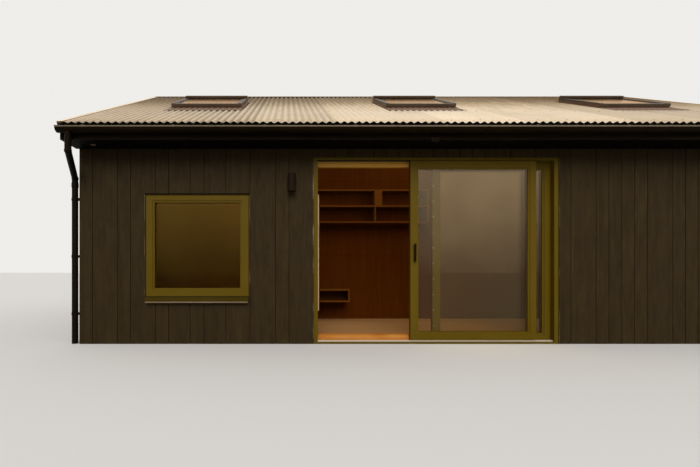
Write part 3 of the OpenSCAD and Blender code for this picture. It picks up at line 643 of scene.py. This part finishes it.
RIB_PITCH = 0.0762
RIB_N = round(2 * ROOF_HALF / RIB_PITCH)
RIB = 2 * ROOF_HALF / RIB_N
POINTS_PER_RIB = 16
RIBS_PER_SHEET = 13
WAVE_MID = 0.0095
WAVE_HALF = 0.009
LAP_LIFT = 0.0006
SHEET_T = 0.0009
OVER_GUTTER = 0.08
SHORT_OF_RIDGE = 0.02
UNEVEN_ENDS = 0.004
SHEET_LOW = -OVER_GUTTER / math.cos(PITCH)
SHEET_HIGH = SLOPE_Y / math.cos(PITCH) - SHORT_OF_RIDGE
GLASS_IN = 0.073
ROOF_WIN_W, ROOF_WIN_L, ROOF_WIN_STEP, ROOF_WIN_UP = 0.942, 0.978, 2.9, 1.455
ROOF_WIN_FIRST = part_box("roof_window_glass")[0][0] - GLASS_IN
ROOF_WINDOWS = [(ROOF_WIN_FIRST + i * ROOF_WIN_STEP, ROOF_WIN_FIRST + i * ROOF_WIN_STEP + ROOF_WIN_W)
                for i in range(3)]
ROOF_WIN_TOP = ROOF_WIN_UP + ROOF_WIN_L

# Tone and dirt of each sheet from the left, seen from its own side; on the front slope they are painted
# light and shade: the middle sheets palest, darker to the left and right, and the hollows darkest to the
# left
FRONT_SHADE_TONES = (0.16, 0.24, 0.46, 0.78, 0.98, 0.70, 0.32, 0.20, 0.16)
FRONT_DIRT_AND_SHADE = (1.00, 0.88, 0.55, 0.32, 0.05, 0.00, 0.05, 0.12, 0.20)
BACK_TONES = (0.42, 0.55, 0.50, 0.78, 0.70, 0.62, 0.76, 0.46, 0.58)
BACK_DIRT = (0.50, 0.30, 0.45, 0.20, 0.35, 0.50, 0.25, 0.60, 0.40)


def slope_point(front, x, v, n):
    """A point on a slope: x along the eaves, v up the slope, n out of it."""
    y = -SLOPE_Y + v * math.cos(PITCH) - n * math.sin(PITCH)
    z = SOFFIT_Z + PLUMB + v * math.sin(PITCH) + n * math.cos(PITCH)
    return (x, y, z) if front else (-x, -y, z)


def in_roof_window(x, margin=0.0):
    return any(a - margin < x < b + margin for a, b in ROOF_WINDOWS)


def sheets(name, node, front, sheet_tones, sheet_dirt_and_shade):
    """The sheets of one slope; every other one lies on its neighbours and laps them by a wave."""
    verts, crests, rises = [], [], []
    faces, tones, dirt_and_shade_values, shifts = [], [], [], []
    for k, (tone, dirt_and_shade) in enumerate(zip(sheet_tones, sheet_dirt_and_shade)):
        lap = k % 2
        first = max(k * RIBS_PER_SHEET - lap, 0)
        last = min((k + 1) * RIBS_PER_SHEET + lap, RIB_N)
        lift = LAP_LIFT if lap else -LAP_LIFT
        low = SHEET_LOW + rng.uniform(0.0, UNEVEN_ENDS)
        shift = (rng.uniform(-5, 5), rng.uniform(-5, 5), 0.0)
        rows = (low, 0.6, ROOF_WIN_UP, (ROOF_WIN_UP + ROOF_WIN_TOP) / 2, ROOF_WIN_TOP, SHEET_HIGH - 0.05,
                SHEET_HIGH)
        start, steps, n = len(verts), (last - first) * POINTS_PER_RIB, len(rows)
        for i in range(steps + 1):
            rib = first + i / POINTS_PER_RIB
            c = math.cos(2 * math.pi * rib)
            for v in rows:
                verts.append(slope_point(front, -ROOF_HALF + rib * RIB, v, WAVE_MID + WAVE_HALF * c + lift))
                crests.append(0.5 + 0.5 * c)
                rises.append(v / SHEET_HIGH)
        for i in range(steps):
            cut = front and in_roof_window(-ROOF_HALF + (first + (i + 0.5) / POINTS_PER_RIB) * RIB)
            for j in range(n - 1):
                if cut and 2 <= j <= 3:
                    continue
                p = start + i * n + j
                faces.append((p, p + n, p + n + 1, p + 1))
                tones.append(tone)
                dirt_and_shade_values.append(dirt_and_shade)
                shifts += shift
    me = bpy.data.meshes.new(name)
    me.from_pydata(verts, [], faces)
    for key, domain, values in (("tone", "FACE", tones), ("dirt_and_shade", "FACE", dirt_and_shade_values),
                                ("crest", "POINT", crests), ("up", "POINT", rises)):
        me.attributes.new(key, "FLOAT", domain).data.foreach_set("value", values)
    me.attributes.new("shift", "FLOAT_VECTOR", "FACE").data.foreach_set("vector", shifts)
    for p in me.polygons:
        p.use_smooth = True
    me.materials.append(roof_metal)
    o = bpy.data.objects.new(name, me)
    scene.collection.objects.link(o)
    s = o.modifiers.new("sheet", "SOLIDIFY")
    s.thickness = SHEET_T
    s.offset = -1.0
    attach(o, "building")
    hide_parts(node)


sheets("corrugated_front", "roof_sheets_front", True, FRONT_SHADE_TONES, FRONT_DIRT_AND_SHADE)
sheets("corrugated_back", "roof_sheets_back", False, BACK_TONES, BACK_DIRT)


# Roof screws on the crests, with their washers; profiles are (along, radius)

SCREW_ROWS = (0.02, 0.9, 1.78, 2.66, 3.44)
SCREW_EVERY = 4
SCREW_CLEAR = 0.12
WASHER = [(0.0, 0.008), (0.0015, 0.008), (0.0018, 0.0045)]
SCREW_HEAD = [(0.0018, 0.0046), (0.0060, 0.0046), (0.0064, 0.0038)]


def roof_screws(name, front):
    p = Piece(name)
    up = Vector(slope_point(front, 0, 0, 1)) - Vector(slope_point(front, 0, 0, 0))
    along = (1, 0, 0)
    for v in SCREW_ROWS:
        beside_windows = front and ROOF_WIN_UP - 0.4 < v < ROOF_WIN_TOP + 0.15
        for i in range(2, RIB_N - 1, SCREW_EVERY):
            x = -ROOF_HALF + i * RIB
            if beside_windows and in_roof_window(x, SCREW_CLEAR):
                continue
            base = slope_point(front, x, v, WAVE_MID + WAVE_HALF)
            p.turned(WASHER, base, up, along, 12, 0.5)
            p.turned(SCREW_HEAD, base, up, along, 6, 0.9)
    p.done(trim_metal)


roof_screws("roof_screws_front", True)
roof_screws("roof_screws_back", False)


# Rolled bead on each gutter's lip, pale as a painted highlight along the lip, with a hook where each strap
# ends on it, pale in the same way

BEAD_R, BEAD_TIP_R, BEAD_IN = 0.0090, 0.0084, 0.0091
HOOK_R, HOOK_TIP_R, HOOK_IN = 0.0111, 0.0100, 0.0112
BEAD_BELOW = 0.0078
HOOK_W = 0.027
TIP = 0.001
STRAP_N, STRAP_W, STRAP_STEP = 9, 0.025, 0.932
STRAP_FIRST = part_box("gutter_straps")[0][0] + STRAP_W / 2


def bead(name, side):
    """side: -1 at the front, 1 at the back."""
    p = Piece(name)
    z = GUTTER_HIGH[2] - BEAD_BELOW
    length = 2 * ROOF_HALF
    y = side * (abs(GUTTER_LOW[1]) - BEAD_IN)
    p.turned([(0.0, BEAD_TIP_R), (TIP, BEAD_R), (length - TIP, BEAD_R), (length, BEAD_TIP_R)],
             (-ROOF_HALF, y, z), (1, 0, 0), (0, 0, 1), 24)
    y = side * (abs(GUTTER_LOW[1]) - HOOK_IN)
    for i in range(STRAP_N):
        x = -side * (STRAP_FIRST + STRAP_STEP * i)
        p.turned([(0.0, HOOK_TIP_R), (TIP, HOOK_R), (HOOK_W - TIP, HOOK_R), (HOOK_W, HOOK_TIP_R)],
                 (x - HOOK_W / 2, y, z), (1, 0, 0), (0, 0, 1), 16, 1.0)
    p.done(bead_highlight_metal, smooth=True)


bead("gutter_bead_front", -1)
bead("gutter_bead_back", 1)


# Steel keep strip with its screws, and the seal behind it, on the left jamb

KEEP_W, KEEP_T, KEEP_LOW, KEEP_HIGH = 0.018, 0.012, 0.37, 1.70
KEEP_SCREWS = (0.45, 0.85, 1.22, 1.62)
KEEP_FACE = FIXED_LOW[1]
KEEP_SCREW = [(0.0, 0.0045), (0.0014, 0.0035)]
SEAL_W, SEAL_T, SEAL_GAP, SEAL_MORE = 0.026, 0.014, 0.002, 0.01

p = Piece("keep_strip")
p.box((JAMB, KEEP_FACE, KEEP_LOW), (JAMB + KEEP_W, KEEP_FACE + KEEP_T, KEEP_HIGH))
for z in KEEP_SCREWS:
    p.turned(KEEP_SCREW, (JAMB + KEEP_W / 2, KEEP_FACE, z), (0, -1, 0), (1, 0, 0), 12)
p.done(strip_metal, bevel=0.0008)
SEAL_Y = KEEP_FACE + KEEP_T + SEAL_GAP
boxes("jamb_seal", rubber,
      [((JAMB, SEAL_Y, KEEP_LOW - SEAL_MORE), (JAMB + SEAL_W, SEAL_Y + SEAL_T, KEEP_HIGH + SEAL_MORE))],
      bevel=0.003)

# Thin black strip under the head of the door frame, where the panel shuts: painted shade under the head
HEAD_SHADE_T = 0.0008
boxes("head_shade_strip", rubber,
      [((JAMB, DOOR_LOW[1] + 0.001, FIXED_HIGH[2] - HEAD_SHADE_T),
        (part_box("sliding_panel")[0][0], FIXED_LOW[1] - 0.002, FIXED_HIGH[2]))])

# Screws up the left stile of the fixed panel
STILE_SCREW = [(0.0, 0.0055), (0.0016, 0.0045), (0.0020, 0.0030)]
STILE_SCREW_N, STILE_SCREW_LOW, STILE_SCREW_STEP, STILE_SCREW_IN = 10, 0.20, 0.178, 0.012

p = Piece("stile_screws")
for i in range(STILE_SCREW_N):
    z = STILE_SCREW_LOW + STILE_SCREW_STEP * i
    p.turned(STILE_SCREW, (FIXED_LOW[0] + STILE_SCREW_IN, FIXED_LOW[1], z), (0, -1, 0), (1, 0, 0), 12)
p.done(steel)

# Drip of the window sill: a thin plate and its turned-down edge
SILL_Y, SILL_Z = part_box("window_sill")[0][1:]
DRIP_X0, DRIP_X1 = WIN_LEFT + 0.004, WIN_RIGHT - 0.004
boxes("sill_drip", drip_metal,
      [((DRIP_X0, SILL_Y - 0.006, SILL_Z - 0.0055), (DRIP_X1, FRONT - 0.002, SILL_Z - 0.003)),
       ((DRIP_X0, SILL_Y - 0.006, SILL_Z - 0.020), (DRIP_X1, SILL_Y - 0.004, SILL_Z - 0.003))],
      bevel=0.0006)

# Drip over the window, in the same form
HEAD_X0, HEAD_X1, HEAD_DRIP_Z = WIN_LEFT - 0.012, WIN_RIGHT + 0.012, WIN_HEAD + 0.004
boxes("window_head_drip", black_metal,
      [((HEAD_X0, FRONT - 0.012, WIN_HEAD + 0.001), (HEAD_X1, FRONT + 0.010, HEAD_DRIP_Z)),
       ((HEAD_X0, FRONT - 0.012, WIN_HEAD - 0.006), (HEAD_X1, FRONT - 0.010, HEAD_DRIP_Z))],
      bevel=0.0006)

# Black strip between the window and its sill: painted shade under the frame's nose
boxes("sill_shade_strip", rubber,
      [((WIN_LEFT + 0.002, FRONT - 0.016, WIN_SILL - 0.002),
        (WIN_RIGHT - 0.002, FRONT + 0.004, WIN_SILL + 0.004))], bevel=0.001)

# Thin dark strips beside the window and the door, painted as the shade in the gap by the frames, and the
# pale edges beside those, with pale patches painted as glints; (from, to) outwards
TRIM_DEPTH = 0.010
FOOT_GAP = 0.003
WINDOW_SPAN = (WIN_SILL, WIN_HEAD)
DOOR_SPAN = (FOOT_GAP, DOOR_H)


def side_bars(name, material, proud, window_left, window_right, door_left, door_right):
    rows = ((WIN_LEFT, -1, window_left, WINDOW_SPAN), (WIN_RIGHT, 1, window_right, WINDOW_SPAN),
            (DOOR_X, -1, door_left, DOOR_SPAN), (DOOR_RIGHT, 1, door_right, DOOR_SPAN))
    corners = []
    for x, side, (near, far), (z0, z1) in rows:
        x0, x1 = sorted((x + side * near, x + side * far))
        corners.append(((x0, FRONT - proud, z0), (x1, FRONT + TRIM_DEPTH, z1)))
    boxes(name, material, corners, bevel=0.0006)


side_bars("side_shade_strips", gap_shade_paint, 0.001,
          (0.0, 0.012), (0.0, 0.012), (0.0, 0.004), (0.0, 0.012))
side_bars("side_edges", glinting_edge_metal, 0.004,
          (0.0125, 0.016), (0.0125, 0.0165), (0.0045, 0.012), (0.0125, 0.0155))


# Stage: a plain floor and backdrop, paler where they are seen than in the light that they give

STAGE_HALF = 90
FLOOR_SEEN, FLOOR_LIT = (0.74, 0.73, 0.71), (0.15, 0.148, 0.143)
SKY_SEEN = (0.86, 0.85, 0.83)
SKY_LIT = [(0.0, grey(0.05)), (0.20, grey(0.30)), (0.50, grey(0.61)), (1.0, grey(0.66))]


def seen(nt):
    """One where a ray comes straight from the camera, by a reflection or through glass."""
    path = nt.nodes.new("ShaderNodeLightPath")
    indirect = math_node(nt, "MAXIMUM", path.outputs["Is Glossy Ray"], path.outputs["Is Transmission Ray"])
    return math_node(nt, "MAXIMUM", path.outputs["Is Camera Ray"], indirect)


m, nt, bsdf = new_material("stage_floor")
nt.links.new(mix(nt, seen(nt), FLOOR_LIT, FLOOR_SEEN), bsdf.inputs["Base Color"])
bsdf.inputs["Roughness"].default_value = 0.9
bsdf.inputs["Specular IOR Level"].default_value = 0.1
me = bpy.data.meshes.new("stage_floor")
me.from_pydata([(x * STAGE_HALF, y * STAGE_HALF, 0) for x, y in ((-1, -1), (1, -1), (1, 1), (-1, 1))],
               [], [(0, 1, 2, 3)])
me.materials.append(m)
floor = bpy.data.objects.new("stage_floor", me)
scene.collection.objects.link(floor)

world = bpy.data.worlds.new("world")
scene.world = world
world.use_nodes = True
nt = world.node_tree
direction = nt.nodes.new("ShaderNodeTexCoord").outputs["Generated"]
dome = ramp(nt, component(nt, direction, 2), SKY_LIT)
background = nt.nodes["Background"]
nt.links.new(mix(nt, seen(nt), dome, SKY_SEEN), background.inputs["Color"])
background.inputs["Strength"].default_value = 1.0


# Light: a soft key from the front, and soft lamps in the room and low before the door

def area_lamp(name, size, watts, colour, place, turn):
    """A rectangle of light; a turn of 0 degrees points it down, and of 180 up."""
    data = bpy.data.lights.new(name, "AREA")
    data.shape = "RECTANGLE"
    data.size, data.size_y = size
    data.energy = watts
    data.color = colour
    o = bpy.data.objects.new(name, data)
    o.location = place
    o.rotation_euler = (math.radians(turn), 0, 0)
    scene.collection.objects.link(o)
    return o


key = bpy.data.lights.new("key", "SUN")
key.energy = 2.05
key.angle = math.radians(38)
key.color = (1.0, 0.96, 0.90)
sun = bpy.data.objects.new("key", key)
sun.rotation_euler = Vector((0.0, 0.84, -0.58)).to_track_quat("-Z", "Y").to_euler()
scene.collection.objects.link(sun)

area_lamp("room", (5.0, 1.2), 26.0, (1.0, 0.90, 0.76), (0.0, -2.25, 2.40), 62)
low_lamp = area_lamp("low", (2.2, 0.8), 9.5, (1.0, 0.92, 0.80), (-0.17, -4.3, 0.02), 180)
low_lamp.visible_camera = False
low_lamp.visible_glossy = False
